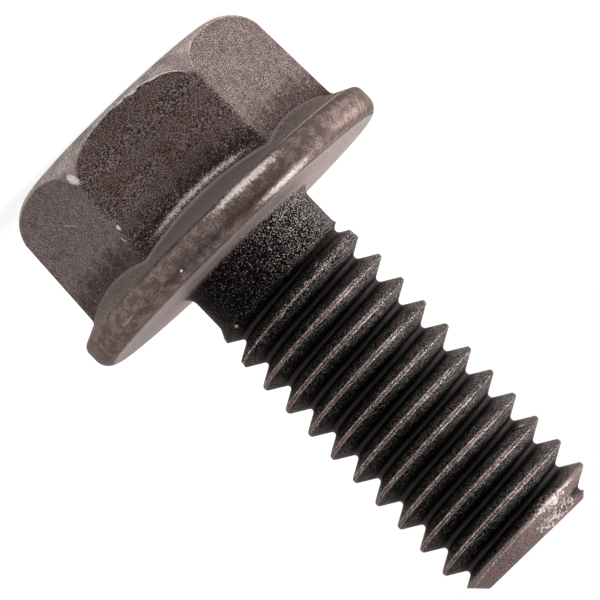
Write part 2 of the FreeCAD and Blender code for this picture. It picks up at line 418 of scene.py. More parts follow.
def shank_outline():
    """Outline of the flange's underside, the neck and the plain shank, the same all round."""
    rim = Vector((FLANGE_RADIUS - RIM_FOOT_ROUND, BEARING_FACE))
    neck_foot = Vector((NECK_RADIUS, BEARING_FACE))
    neck_end = Vector((NECK_RADIUS, NECK_END))
    swell = Vector((SWELL_RADIUS, SWELL_TOP))
    full = Vector((CREST_RADIUS, FULL_THREAD))
    point_start = Vector((CREST_RADIUS, POINT_START))
    point_end = Vector((POINT_RADIUS, BOLT_END))
    middle = Vector((0, BOLT_END))
    neck_arc = rounded(rim, neck_foot, neck_end, NECK_FILLET, NECK_FILLET_ROWS)
    swell_foot = rounded(neck_foot, neck_end, swell, SWELL_ROUND, SWELL_ROWS)
    swell_arc = rounded(neck_end, swell, full, SWELL_ROUND, SWELL_ROWS)
    points = between(rim, neck_arc[0], UNDERSIDE_ROWS) + neck_arc
    points += between(neck_arc[-1], swell_foot[0], NECK_ROWS)
    points += swell_foot + swell_arc + between(swell_arc[-1], full, SHANK_ROWS)
    points += [full, point_start]
    points += between(point_start, point_end, CHAMFER_ROWS)
    points += rounded(point_start, point_end, middle, POINT_ROUND, POINT_ROUND_ROWS)
    return points + [Vector((POINT_RADIUS * share, BOLT_END)) for share in END_SHARES]


print("rows of the shank:", len(shank_outline()))

# %% Directions of the columns
CORNER_PIECES = 8
FLAT_PIECES = 36


def column_turns():
    """Directions of the columns: close together round each corner, evenly spaced on each flat."""
    flat = ACROSS_FLATS / 2 + RIM_EDGE / 2 * math.tan(DRAFT)
    corner_centre = (flat - CORNER_ROUND) / math.cos(CORNER_TO_FLAT)
    turns = []
    for side in range(6):
        corner = side * SIDE_TURN
        for step in range(CORNER_PIECES):
            lean = SIDE_TURN * (step / CORNER_PIECES - 0.5)
            across = CORNER_ROUND * math.sin(lean)
            turns.append(corner + math.atan2(across, corner_centre + CORNER_ROUND * math.cos(lean)))
        half_flat = flat * math.tan(CORNER_TO_FLAT) - CORNER_ROUND * math.tan(CORNER_TO_FLAT)
        for step in range(FLAT_PIECES):
            along = half_flat * (2 * step / FLAT_PIECES - 1)
            turns.append(corner + CORNER_TO_FLAT + math.atan2(along, flat))
    return sorted(turn % (2 * math.pi) for turn in turns)


turns = column_turns()
print("columns:", len(turns))


# %% Throw the blank
def set_ring(mesh_data, row):
    """Moves the selected ring of points to a row of the outline."""
    mesh = bmesh.from_edit_mesh(mesh_data)
    ring = [vertex for vertex in mesh.verts if vertex.select]
    ring.sort(key=lambda vertex: math.atan2(vertex.co.y, vertex.co.x) % (2 * math.pi))
    for vertex, turn, point in zip(ring, turns, row):
        vertex.co = Vector((point.x * math.cos(turn), point.x * math.sin(turn), point.y)) * MM
    bmesh.update_edit_mesh(mesh_data)


shank = shank_outline()
columns = [head_outline(turn) + shank for turn in turns]
rows = list(zip(*columns))

bpy.ops.object.select_all(action="DESELECT")
bpy.ops.mesh.primitive_circle_add(vertices=len(turns), radius=MM, fill_type="TRIFAN")
bolt = bpy.context.object
bolt.name = "forged_bolt"
bpy.ops.object.mode_set(mode="EDIT")
bpy.ops.mesh.select_mode(type="VERT")
edit_mesh = bmesh.from_edit_mesh(bolt.data)
for vertex in edit_mesh.verts:
    vertex.select_set(vertex.co.length > MM / 2)
edit_mesh.select_flush_mode()
bmesh.update_edit_mesh(bolt.data)
set_ring(bolt.data, rows[0])
for row in rows[1:]:
    bpy.ops.mesh.extrude_edges_move()
    set_ring(bolt.data, row)
bpy.ops.mesh.extrude_edges_move()
bpy.ops.mesh.merge(type="CENTER")
bpy.ops.mesh.select_all(action="SELECT")
bpy.ops.mesh.normals_make_consistent(inside=False)
bpy.ops.object.mode_set(mode="OBJECT")
print("blank:", len(bolt.data.vertices), "points and", len(bolt.data.polygons), "faces")

# %% [markdown]
# ## The thread
#
# A rolled thread is pressed in between two dies. The groove is drawn here by its section: a rounded
# root, two flanks at 60 degrees to each other, and shoulders that turn over on to the crest. The Screw
# modifier sweeps the section along the helix, and a Boolean takes it out of the shank. A right-hand
# thread climbs counterclockwise, seen from the point. On its first turn the groove also swells out from
# the axis, little near its full depth and more toward its start, so that it stays deep for a while and
# then fades on the neck, as a rolled thread does. A mesh of loose grooves round the shank would be
# simpler, but its ends would be wrong.

# %% Section of the groove
STEPS_PER_TURN = 120
SHOULDER_ROUND = 0.12
CUTTER_REACH = 0.25
SHOULDER_PIECES = 3
FLANK_PIECES = 3
ROOT_PIECES = 6


def groove_outline():
    """Section of the groove, from the lower shoulder to the root and out at the upper shoulder."""
    half_mouth = (PITCH - CREST_WIDTH) / 2
    sharp_root = CREST_RADIUS - half_mouth / math.tan(HALF_FLANK)
    root = Vector((sharp_root, 0))
    lower = Vector((CREST_RADIUS, -half_mouth))
    upper = Vector((CREST_RADIUS, half_mouth))
    crest_below = lower + Vector((0, -CREST_WIDTH))
    crest_above = upper + Vector((0, CREST_WIDTH))
    lower_shoulder = rounded(crest_below, lower, root, SHOULDER_ROUND, SHOULDER_PIECES)
    upper_shoulder = rounded(root, upper, crest_above, SHOULDER_ROUND, SHOULDER_PIECES)
    root_arc = rounded(lower, root, upper, ROOT_ROUND, ROOT_PIECES)
    lip_out = Vector((CUTTER_REACH, 0))
    outline = [lower_shoulder[0] + lip_out] + lower_shoulder
    outline += between(lower_shoulder[-1], root_arc[0], FLANK_PIECES) + root_arc
    outline += between(root_arc[-1], upper_shoulder[0], FLANK_PIECES) + upper_shoulder
    return outline + [upper_shoulder[-1] + lip_out]


print("points in the groove's section:", len(groove_outline()))


# %% Sweep a section along the helix
def sweep_section(name, outline, start_height, turn_count):
    """Closed solid of a section swept up a right-hand helix from the XZ plane on the +X side."""
    bpy.ops.object.select_all(action="DESELECT")
    bpy.ops.mesh.primitive_circle_add(vertices=len(outline), radius=MM, fill_type="NOTHING")
    cutter = bpy.context.object
    cutter.name = name
    for vertex, point in zip(cutter.data.vertices, outline):
        vertex.co = Vector((point.x, 0, point.y + start_height)) * MM
    screw = cutter.modifiers.new("helix", "SCREW")
    screw.axis = "Z"
    screw.angle = 2 * math.pi * turn_count
    screw.screw_offset = PITCH * turn_count * MM
    screw.steps = round(STEPS_PER_TURN * turn_count)
    screw.render_steps = screw.steps
    bpy.ops.object.modifier_apply(modifier="helix")
    bpy.ops.object.mode_set(mode="EDIT")
    bpy.ops.mesh.select_all(action="SELECT")
    bpy.ops.mesh.fill_holes(sides=0)
    bpy.ops.mesh.select_all(action="SELECT")
    bpy.ops.mesh.normals_make_consistent(inside=False)
    bpy.ops.object.mode_set(mode="OBJECT")
    return cutter


print("steps in a turn:", STEPS_PER_TURN)


# %% Helpers for a cut
def helix_progress(point, start_height):
    """Turns along the helix at a point of a cutter whose first section is at the start height."""
    turned = math.atan2(point.y, point.x) / (2 * math.pi)
    return round((point.z / MM - start_height) / PITCH - turned) + turned


def cut(cutter):
    """Takes a cutter out of the bolt and removes it."""
    bpy.ops.object.select_all(action="DESELECT")
    bpy.context.view_layer.objects.active = bolt
    boolean = bolt.modifiers.new("cut", "BOOLEAN")
    boolean.operation = "DIFFERENCE"
    boolean.solver = "EXACT"
    boolean.object = cutter
    bpy.ops.object.modifier_apply(modifier="cut")
    bpy.data.objects.remove(cutter)


def open_edges():
    """How many edges of the bolt don't have just two faces."""
    mesh = bmesh.new()
    mesh.from_mesh(bolt.data)
    count = sum(not edge.is_manifold for edge in mesh.edges)
    mesh.free()
    return count


print("open edges of the blank:", open_edges())

# %% Cut the thread
START_TURNS = 1.0
thread_start = FIRST_GROOVE - START_TURNS * PITCH
thread_turns = math.ceil((BOLT_END - thread_start) / PITCH + 1)
groove = sweep_section("groove", groove_outline(), thread_start, thread_turns)
root_radius = min(point.x for point in groove_outline())
climb = (SWELL_RADIUS - root_radius) / RUN_OUT_TURNS
for vertex in groove.data.vertices:
    missing = START_TURNS - helix_progress(vertex.co, thread_start)
    if missing > 0:
        off_axis = math.hypot(vertex.co.x, vertex.co.y)
        stretch = 1 + climb * missing ** 2 / RUN_OUT_TURNS * MM / off_axis
        vertex.co.x *= stretch
        vertex.co.y *= stretch
cut(groove)
print("threaded:", len(bolt.data.polygons), "faces,", open_edges(), "open edges")

# %% [markdown]
# ## The seam on the crests
#
# When a thread is rolled, the metal climbs up both flanks of the die and the two lips meet on the
# crest. They leave a fine seam there, which shows as a hairline between two bright lines. A smaller
# cutter of the same kind makes it, half a pitch away from the groove.

# %% Cut the crest seam
SEAM_WIDTH = 0.045
SEAM_DEPTH = 0.03


def seam_outline():
    """Small V that opens outward past the crest."""
    root = CREST_RADIUS - SEAM_DEPTH
    mouth = CREST_RADIUS + SEAM_DEPTH
    return [Vector((mouth, -SEAM_WIDTH)), Vector((root, 0)), Vector((mouth, SEAM_WIDTH))]


seam_start = FIRST_GROOVE + PITCH / 2
seam_turns = math.ceil((BOLT_END - seam_start) / PITCH)
cut(sweep_section("seam", seam_outline(), seam_start, seam_turns))
print("with its seam:", len(bolt.data.polygons), "faces,", open_edges(), "open edges")

# %% [markdown]
# ## Chips and nicks
#
# The bolt is used stock. A corner of its head is chipped, two small nicks sit on its edges, one thread
# is bruised, and the point has a folded lip where the rolled thread ran out over the chamfer. A chip is
# a shape and not a stain, so each one is cut: by a small lumpy ball that is stretched between two points.

# %% Cut the nicks
# Each nick has its two ends and its width, in millimetres.
NICKS = {
    "corner_chip": ((3.56, -6.26, 1.08), (3.48, -6.3, 1.36), 0.42),
    "edge_nick": ((3.54, -6.34, 4.08), (3.54, -6.34, 4.16), 0.24),
    "crown_nick": ((-4.28, -4.72, 0.27), (-4.38, -4.62, 0.27), 0.1),
    "bruised_thread": ((-2.55, -1.98, 22.08), (-3.2, -1.98, 22.36), 0.2),
    "folded_lip": ((-1.35, -3.0, 25.95), (-2.9, -1.5, 26.16), 0.14),
}
LUMPS = 0.14


def lumpy_ball(name, start, end, width):
    """Ball with uneven facets, stretched between two points."""
    lumps = random.Random(name)
    start, end = Vector(start), Vector(end)
    along = end - start
    turned = along.to_track_quat("X", "Z").to_matrix()
    stretch = Vector((along.length / 2 + width / 2, width / 2, width / 2))
    bpy.ops.mesh.primitive_ico_sphere_add(subdivisions=2, radius=1)
    ball = bpy.context.object
    for vertex in ball.data.vertices:
        uneven = lumps.uniform(1 - LUMPS, 1 + LUMPS)
        vertex.co = (start + end) / 2 + turned @ (vertex.co * stretch) * uneven
        vertex.co *= MM
    return ball


bpy.ops.object.select_all(action="DESELECT")
balls = [lumpy_ball(name, *nick) for name, nick in NICKS.items()]
for ball in balls:
    ball.select_set(True)
bpy.ops.object.join()
cut(bpy.context.object)
print("nicked:", len(bolt.data.polygons), "faces,", open_edges(), "open edges")

# %% [markdown]
# ## Shading
#
# Faces that meet at a small angle are one curved surface and are shaded smooth. The edges of the
# crests, the arcs over the flats and the point are sharper than that, and stay crisp.

# %% Smooth the curved faces
SMOOTH_BELOW = math.radians(26)
bpy.ops.object.select_all(action="DESELECT")
bolt.select_set(True)
bpy.context.view_layer.objects.active = bolt
bpy.ops.object.shade_smooth_by_angle(angle=SMOOTH_BELOW)
print("smooth below", round(math.degrees(SMOOTH_BELOW)), "degrees")

# %% [markdown]
# ## The finish
#
# The steel is forged and rolled, and then oiled after a hot black oxide bath. The oxide is a thin
# mineral skin on metal, so it mirrors its surroundings dimly, as dark metal does. In the thread and on
# the neck it is still as the bath left it: nearly black and gritty, with crystals that glint. The die
# pressed the flange smooth. The head, the crests and the point are rubbed to a brown-grey, and the arcs
# over the flats shine where bolts have struck each other. It is one skin on one bolt, so it is one
# material, and the cells below build it up. Its masks come from the bolt's own sizes: from a point's
# height, its distance from the axis and its place along the helix. That keeps each tone on its own
# surface, without an image or a painted map.

# %% Start the material
# Oiled black oxide on forged steel: gritty and nearly black, brown-grey and smoother where it is rubbed.
material = bpy.data.materials.new("black_oxide_on_forged_steel")
material.use_nodes = True
tree = material.node_tree
tree.nodes.clear()

# Where a point is, in millimetres: its distance from the axis, its height, and how far it is to a side.
object_place = add_node(tree, "ShaderNodeTexCoord").outputs["Object"]
place = add_node(tree, VECTOR, {"operation": "SCALE"}, _0=object_place, Scale=1 / MM)
flat_place = add_node(tree, VECTOR, MULTIPLY, _0=place, _1=(1, 1, 0))
radius = add_node(tree, VECTOR, LENGTH, _0=flat_place)
apart = add_node(tree, "ShaderNodeSeparateXYZ", Vector=place)
height = apart.outputs["Z"]
sideways = apart.outputs["X"]
off_middle = add_node(tree, MATH, {"operation": "ABSOLUTE"}, _0=sideways)
print("nodes that place a point:", len(tree.nodes))

# %% [markdown]
# ### Grains and patches
#
# The crystals of the oxide are a few hundredths of a millimetre wide or less. It is mottled in spots of
# about half a millimetre, and rubbed patches and forging dents are one or two millimetres wide. A
# photograph of steel could carry all of that, but it would stretch over so many forms. So a few noises
# are read at a point's place in space, and each has its own size.

# %% Noises
# In the picture a pixel is 0.044 mm wide. The grain and the glints would vanish at their real size, so
# they are drawn as coarse as they need to show. Each noise has a size in mm, a detail and a roughness.
NOISES = {
    "grain": (0.06, 1.0, 0.5),
    "glint": (0.05, 1.0, 0.5),
    "crumbs": (0.14, 1.0, 0.5),
    "mottle": (0.45, 2.0, 0.6),
    "patches": (1.5, 3.0, 0.55),
    "dents": (1.2, 1.0, 0.4),
}
grain, glint, crumbs, mottle, patches, dents = (
    add_node(tree, "ShaderNodeTexNoise", Vector=place, Scale=1 / size, Detail=detail, Roughness=rough)
    for size, detail, rough in NOISES.values()
)
print("noises:", list(NOISES))

# %% [markdown]
# ### Where the head is worn
#
# Wear follows the shape. The crown and the arcs over the flats touch other bolts in the bin, the die
# pressed the cone and the rim, and the flats are made darker toward their foot. Lines along the foot of
# the flats and along the rim's edge carry painted highlights. Masks for these could be painted by hand.
# Here each is measured: a smooth step goes from none to full where a surface starts. A ping-pong of such
# a step is full only in its middle, so it draws a line along the edge.

# %% Masks of the crown and its arcs
WORN_ARC = 0.09
below_crown = add_node(tree, RANGE, SMOOTH, Value=height, From_Min=1.6, From_Max=1.3)
section_place = add_node(tree, "ShaderNodeCombineXYZ", X=radius, Y=height)
arm = add_node(tree, VECTOR, DISTANCE, _0=section_place, _1=(CROWN_CENTRE.x, CROWN_CENTRE.y, 0))
on_arc = add_node(tree, RANGE, SMOOTH, Value=arm, From_Min=CROWN_ROUND - WORN_ARC,
                  From_Max=CROWN_ROUND - 0.01)
top = add_node(tree, RANGE, SMOOTH, Value=height, From_Min=0.05, From_Max=0.01)
crown_arc = add_node(tree, MATH, MULTIPLY, _0=on_arc, _1=below_crown)
crown = add_node(tree, MATH, LARGER, _0=top, _1=crown_arc)
arc_line = add_node(tree, MATH, PINGPONG, _0=crown, _1=0.5)
print("the arcs' edge is worn over", WORN_ARC, "mm")

# %% Masks of the flange and the foot of the flats
CONE_TAN = math.tan(FLANGE_SLOPE)
CONE_LEAN = RIM_EDGE - FLANGE_RADIUS * CONE_TAN
FOOT_BAND = 0.85
lean = add_node(tree, MATH, MULTIPLY_ADD, _0=radius, _1=-CONE_TAN, _2=height)
below_bearing = add_node(tree, RANGE, SMOOTH, Value=height, From_Min=BEARING_FACE - 0.04,
                         From_Max=BEARING_FACE - 0.2)
over_cone = add_node(tree, RANGE, SMOOTH, Value=lean, From_Min=CONE_LEAN - 0.14, From_Max=CONE_LEAN - 0.02)
pressed = add_node(tree, MATH, MULTIPLY, _0=over_cone, _1=below_bearing)
inside_rim = add_node(tree, RANGE, SMOOTH, Value=radius, From_Min=FLANGE_RADIUS - 0.2,
                      From_Max=FLANGE_RADIUS - 0.45)
cone = add_node(tree, MATH, MULTIPLY, _0=pressed, _1=inside_rim)
# The lines along the rim's edge and along the foot of the flats place painted highlights further on.
rim_edge = add_node(tree, MATH, PINGPONG, _0=inside_rim, _1=0.5)
rim_highlight_line = add_node(tree, MATH, MULTIPLY, _0=rim_edge, _1=pressed)
foot_step = add_node(tree, RANGE, SMOOTH, Value=lean, From_Min=CONE_LEAN - FOOT_BAND + 0.1,
                     From_Max=CONE_LEAN + 0.1)
foot_highlight_line = add_node(tree, MATH, PINGPONG, _0=foot_step, _1=0.5)
# Darker toward the foot of the flats.
darker_foot = add_node(tree, RANGE, SMOOTH, Value=lean, From_Min=CONE_LEAN - 1.9, From_Max=CONE_LEAN - 0.3,
                      To_Min=0.0, To_Max=0.5)
print("the cone's slope would meet the axis", round(CONE_LEAN, 2), "mm up")

# %% [markdown]
# ### Where the shank is black and where it is rubbed
#
# The bath's black starts a little above the bearing face. The crests, the chamfer and the end face
# stand out, so they are rubbed. A full crest is known by its distance from the axis. The ridge of the
# first turn is lower, and could be missed that way. It is found along the helix instead: height and
# angle together tell how many turns a point is from the groove, and halfway between two is a ridge.

# %% Masks of the underside, the black and the crests
underside = add_node(tree, RANGE, SMOOTH, Value=height, From_Min=BEARING_FACE - 0.1,
                     From_Max=BEARING_FACE - 0.01)
speckled_height = add_node(tree, MATH, MULTIPLY_ADD, _0=grain, _1=0.5, _2=height)
black = add_node(tree, RANGE, SMOOTH, Value=speckled_height, From_Min=BEARING_FACE + 0.25,
                 From_Max=BEARING_FACE + 0.45)
high_crest = add_node(tree, RANGE, SMOOTH, Value=radius, From_Min=CREST_RADIUS - 0.08,
                      From_Max=CREST_RADIUS - 0.02)
above_neck = add_node(tree, RANGE, SMOOTH, Value=height, From_Min=BEARING_FACE + 0.7,
                      From_Max=BEARING_FACE + 0.9)
full_crest = add_node(tree, MATH, MULTIPLY, _0=high_crest, _1=above_neck)
angle = add_node(tree, MATH, {"operation": "ARCTAN2"}, _0=apart.outputs["Y"], _1=apart.outputs["X"])
climbed = add_node(tree, MATH, MULTIPLY_ADD, _0=height, _1=1 / PITCH, _2=-thread_start / PITCH)
helix_turns = add_node(tree, MATH, MULTIPLY_ADD, _0=angle, _1=-0.5 / math.pi, _2=climbed)
off_groove = add_node(tree, MATH, PINGPONG, _0=helix_turns, _1=0.5)
ridge_line = add_node(tree, RANGE, SMOOTH, Value=off_groove, From_Min=0.44, From_Max=0.48)
past_neck = add_node(tree, RANGE, SMOOTH, Value=height, From_Min=NECK_END + 0.2, From_Max=NECK_END + 0.6)
first_crest = add_node(tree, MATH, MULTIPLY, _0=ridge_line, _1=past_neck)
crest = add_node(tree, MATH, LARGER, _0=full_crest, _1=first_crest)
print("the crests are", CREST_RADIUS, "mm from the axis")

# %% Mask of the point
POINT_REACH = CREST_RADIUS + POINT_START
cone_reach = add_node(tree, MATH, ADD, _0=radius, _1=height)
chamfer = add_node(tree, RANGE, SMOOTH, Value=cone_reach, From_Min=POINT_REACH - 0.22,
                   From_Max=POINT_REACH - 0.04)
end_face = add_node(tree, RANGE, SMOOTH, Value=height, From_Min=BOLT_END - 0.06, From_Max=BOLT_END - 0.01)
rubbed_point = add_node(tree, MATH, LARGER, _0=chamfer, _1=end_face)
print("the chamfer starts", round(POINT_START, 2), "mm up")

# %% [markdown]
# ### Marks
#
# Blows and scratches bare the steel in small places, the point is scuffed, and dirt and rust stain a few
# spots. Two bands across the rim's front and two short marks on crests are painted highlights. They have
# hardly any depth, so they are in the finish. They could be an image wrapped round the bolt, but a list is
# easier to change: each mark has two ends on the surface, a width, and how strongly it shows. It is drawn
# as a ball stretched between the ends, and a noise tears its edge.

# %% Marks that bare the steel, and two painted crest highlights
MARKS = {
    "corner_chip": ((3.54, -6.05, 1.06), (3.42, -6.05, 1.42), 0.36, 1.0),
    "edge_nick": ((3.5, -6.22, 4.04), (3.5, -6.22, 4.18), 0.16, 1.0),
    "edge_line": ((3.72, -6.05, 4.5), (3.7, -6.1, 4.75), 0.06, 0.7),
    "crown_nick": ((-4.2, -4.7, 0.36), (-4.36, -4.6, 0.36), 0.07, 0.8),
    "rim_dot": ((2.82, -7.79, 7.42), (2.86, -7.79, 7.42), 0.1, 1.0),
    "rim_crack": ((-7.85, -2.8, 6.95), (-7.45, -3.24, 7.72), 0.05, 0.6),
    "neck_speck": ((2.8, -2.3, 10.5), (2.88, -2.22, 10.52), 0.14, 1.0),
    "first_thread_scratch": ((-1.49, -3.39, 11.09), (-1.82, -3.09, 10.97), 0.06, 1.0),
    # Painted highlights: two short bright marks on crests of the first turns.
    "first_crest_highlight": ((0.85, -3.7, 11.6), (1.2, -3.6, 11.66), 0.05, 0.9),
    "second_crest_highlight": ((-1.4, -3.55, 12.92), (-1.9, -3.36, 12.86), 0.08, 1.0),
    "side_scratch": ((5.24, -3.25, 2.14), (4.73, -4.18, 2.69), 0.08, 0.25),
    "rim_scratch": ((6.28, -5.45, 7.28), (5.6, -6.15, 7.25), 0.05, 0.4),
    "bruised_lip": ((-2.95, -1.7, 22.16), (-3.18, -1.78, 22.3), 0.06, 0.7),
    "point_blob": ((-1.72, -3.12, 25.62), (-1.9, -3.0, 25.7), 0.15, 1.0),
    "arc_burr_low": ((-0.75, -6.11, 0.28), (-1.15, -6.11, 0.35), 0.1, 1.0),
    "arc_burr_middle": ((-0.1, -6.11, 0.245), (-0.45, -6.11, 0.26), 0.06, 1.0),
    "arc_burr_high": ((-1.75, -6.11, 0.44), (-2.6, -6.11, 0.64), 0.07, 1.0),
}
print("bare marks:", len(MARKS))

# %% Painted rim highlights, spatter and stains
# Painted highlights: two bright bands across the front of the rim, on its upper and lower roundings.
RIM_HIGHLIGHTS = {
    "rim_highlight_low": ((-0.2, -8.25, 6.6), (-3.3, -7.6, 6.6), 0.42, 1.0),
    "rim_highlight_high": ((-1.9, -7.95, 7.72), (-4.2, -6.95, 7.72), 0.26, 0.8),
}
SPATTER = {
    "point_spatter": ((-1.35, -3.5, 25.45), (-2.05, -3.15, 25.45), 0.42, 1.0),
    "point_edge": ((-2.2, -3.1, 25.42), (-2.9, -2.5, 25.45), 0.12, 0.9),
    "point_speckle": ((-0.8, -2.9, 26.1), (-1.6, -2.55, 26.1), 0.36, 0.7),
    "folded_speckle": ((-1.9, -2.6, 25.95), (-2.7, -2.0, 26.05), 0.3, 0.6),
}
STAINS = {
    "rim_stain": ((-0.5, -8.15, 7.62), (-3.2, -7.6, 7.52), 0.5, 0.8),
    "flat_rust": ((-0.1, -6.15, 3.4), (-0.9, -6.15, 4.6), 2.2, 0.3),
    "foot_spot": ((-7.15, -0.6, 5.8), (-7.2, -0.1, 5.9), 0.7, 0.8),
}
print("rubs:", len(RIM_HIGHLIGHTS), "spatter:", len(SPATTER), "stains:", len(STAINS))

# %% Show the marks
# A noise adds about 0.5 to the distance from a ball's middle, so its edge is looked for beyond 1.
MARK_DEPTH = 0.9
BALL_EDGE = 1.4


def show_marks(marks, raggedness, softness):
    """Where the marks show and how much, each a small stretched ball with ragged edges."""
    shown = 0.0
    for start, end, width, strength in marks.values():
        start, end = Vector(start), Vector(end)
        along = end - start
        local = add_node(tree, "ShaderNodeMapping", {"vector_type": "TEXTURE"}, Vector=place,
                         Location=(start + end) / 2, Rotation=along.to_track_quat("X", "Z").to_euler(),
                         Scale=((along.length + width) / 2, MARK_DEPTH / 2, width / 2))
        off_centre = add_node(tree, VECTOR, LENGTH, _0=local)
        ragged = add_node(tree, MATH, ADD, _0=off_centre, _1=raggedness)
        mark = add_node(tree, RANGE, SMOOTH, Value=ragged, From_Min=BALL_EDGE - softness,
                        From_Max=BALL_EDGE + softness, To_Min=strength, To_Max=0.0)
        shown = add_node(tree, MATH, LARGER, _0=shown, _1=mark)
    return shown


# The crumbs' noise is spread a little to fray the edge of the painted rim highlights, and widely to break a
# mark up into spatter.
crumbled = add_node(tree, MATH, MULTIPLY_ADD, _0=crumbs, _1=6.0, _2=-2.4)
frayed_edge = add_node(tree, MATH, MULTIPLY_ADD, _0=crumbs, _1=1.6, _2=-0.3)
chipped_and_highlights = show_marks(MARKS, raggedness=grain, softness=0.15)
painted_rim_highlights = show_marks(RIM_HIGHLIGHTS, raggedness=frayed_edge, softness=0.5)
spattered = show_marks(SPATTER, raggedness=crumbled, softness=0.3)
struck_and_highlights = add_node(tree, MATH, LARGER, _0=chipped_and_highlights, _1=painted_rim_highlights)
bare_and_highlights = add_node(tree, MATH, LARGER, _0=struck_and_highlights, _1=spattered)
stained = show_marks(STAINS, raggedness=mottle, softness=0.5)
print("nodes:", len(tree.nodes))

# %% [markdown]
# ### The flats, the crown and the flange
#
# The flats are worn to a brown-grey, with redder patches, dark pits and pale grains, and they get
# darker toward their foot. The side flats are painted paler and greyer than the front one, as painted
# light. The crown is paler, partly from wear and partly as painted light, and painted darker toward the
# corners as painted shade. The underside is the palest, painted paler still on the lamps' side as painted
# light, the rim is cloudy, and the cone is even where the die pressed it hardest. One plain brown with a
# noise over it would be quicker, but in the photograph each of these forms has its own tone. So each is
# mixed here from two or three tones that were matched to it, and the grain leaves the darker one in its
# pits.

# %% Tones of the flats
redder = add_node(tree, RANGE, SMOOTH, Value=patches, From_Min=0.42, From_Max=0.62)
# Painted light: the side flats are painted paler and greyer than the front flat.
side_flats_painted_light = add_node(tree, RANGE, SMOOTH, Value=off_middle, From_Min=3.3, From_Max=3.9)
front_brown = add_node(tree, MIX, COLOURS, Factor=redder, A=colour("#83716f"), B=colour("#7d655f"))
brown = add_node(tree, MIX, COLOURS, Factor=side_flats_painted_light, A=front_brown, B=colour("#8b7d79"))
# The flats get darker toward their foot, and in spots where the mottle is high.
foot_and_mottle = add_node(tree, MATH, ADD, _0=darker_foot, _1=mottle)
darkened = add_node(tree, RANGE, SMOOTH, Value=foot_and_mottle, From_Min=0.4, From_Max=1.05)
darkened_brown = add_node(tree, MIX, COLOURS, Factor=darkened, A=brown, B=colour("#3d302e"))
out_of_pits = add_node(tree, RANGE, SMOOTH, Value=grain, From_Min=0.36, From_Max=0.56)
# The pits of the side flats are painted paler too, as painted light.
pit_tone = add_node(tree, MIX, COLOURS, Factor=side_flats_painted_light, A=colour("#2b2323"), B=colour("#4b4240"))
pitted = add_node(tree, MIX, COLOURS, Factor=out_of_pits, A=pit_tone, B=darkened_brown)
pale_grain = add_node(tree, RANGE, SMOOTH, Value=grain, From_Min=0.6, From_Max=0.72)
flat_tone = add_node(tree, MIX, COLOURS, Factor=pale_grain, A=pitted, B=colour("#a99894"))
print("nodes:", len(tree.nodes))

# %% Tones of the crown and the underside
rubbed_crown = add_node(tree, RANGE, SMOOTH, Value=patches, From_Min=0.36, From_Max=0.56)
# The crown's pale brown is partly wear and partly painted light.
pale_crown_wear_and_light = add_node(tree, MIX, COLOURS, Factor=rubbed_crown, A=colour("#b2a19c"), B=colour("#e0d2cd"))
# Painted shade: the crown is painted darker below its top, toward the corners.
crown_painted_shade = add_node(tree, RANGE, SMOOTH, Value=height, From_Min=0.3, From_Max=1.0, To_Min=0.0, To_Max=0.5)
crown_with_painted_shade = add_node(tree, MIX, COLOURS, Factor=crown_painted_shade, A=pale_crown_wear_and_light, B=colour("#5b4c49"))
crown_tone = add_node(tree, MIX, COLOURS, Factor=out_of_pits, A=colour("#857470"), B=crown_with_painted_shade)
# Painted light: the underside is painted paler on the lamps' side. The same mask later puts a painted
# highlight on the rim's edge.
lamp_side_painted_light = add_node(tree, RANGE, SMOOTH, Value=sideways, From_Min=-2.0, From_Max=-5.5)
under_brown_painted_light = add_node(tree, MIX, COLOURS, Factor=lamp_side_painted_light, A=colour("#c9bab5"), B=colour("#e6d9d4"))
under_tone = add_node(tree, MIX, COLOURS, Factor=out_of_pits, A=colour("#9a8885"), B=under_brown_painted_light)
print("nodes:", len(tree.nodes))

# %% Tones of the rim and the cone
cloudy = add_node(tree, RANGE, SMOOTH, Value=mottle, From_Min=0.4, From_Max=0.6)
cloudy_brown = add_node(tree, MIX, COLOURS, Factor=cloudy, A=colour("#91807c"), B=colour("#6f5e58"))
rim_tone = add_node(tree, MIX, COLOURS, Factor=out_of_pits, A=colour("#61514c"), B=cloudy_brown)
grainy_side = add_node(tree, RANGE, SMOOTH, Value=off_middle, From_Min=2.6, From_Max=4.4)
grainy_cone = add_node(tree, MATH, MULTIPLY, _0=cone, _1=grainy_side)
cone_tone = add_node(tree, MIX, COLOURS, Factor=out_of_pits, A=colour("#554b48"), B=colour("#9a8b86"))
print("nodes:", len(tree.nodes))

# %% [markdown]
# ### The neck and the thread
#
# Here the skin is nearly whole: almost black, with pale crystals. Their pale colour is partly a painted
# glint. There are fewer of them toward the roots. As painted light and shade, there are more on the lamps'
# side and fewer on the neck and on the side away from the lamps. The crests are brown, and the point is
# rubbed as the flats are. Loose crystals could be scattered as tiny meshes, but thousands would be needed.
# So the peaks of the glint noise stand for them, and what is added to it makes them more or fewer.

# %% Tones of the neck and grooves
ROOT_EDGE = root_radius + ROOT_ROUND / 2
# Painted light and shade: more pale crystals on the lamps' side, and fewer on the neck, most of all on the
# side away from the lamps.
painted_side_light = add_node(tree, RANGE, Value=sideways, From_Min=3.0, From_Max=-3.0, To_Min=-0.05, To_Max=0.02)
neck_painted_shade = add_node(tree, RANGE, Value=height, From_Min=BEARING_FACE + 2.0, From_Max=BEARING_FACE + 3.0,
                     To_Min=-1.0, To_Max=0.0)
shaded_side_painted = add_node(tree, RANGE, SMOOTH, Value=sideways, From_Min=-1.5, From_Max=2.5, To_Min=0.01,
                     To_Max=0.045)
painted_light_and_shade = add_node(tree, MATH, MULTIPLY_ADD, _0=neck_painted_shade, _1=shaded_side_painted, _2=painted_side_light)
glint_with_painted_light = add_node(tree, MATH, ADD, _0=glint, _1=painted_light_and_shade)
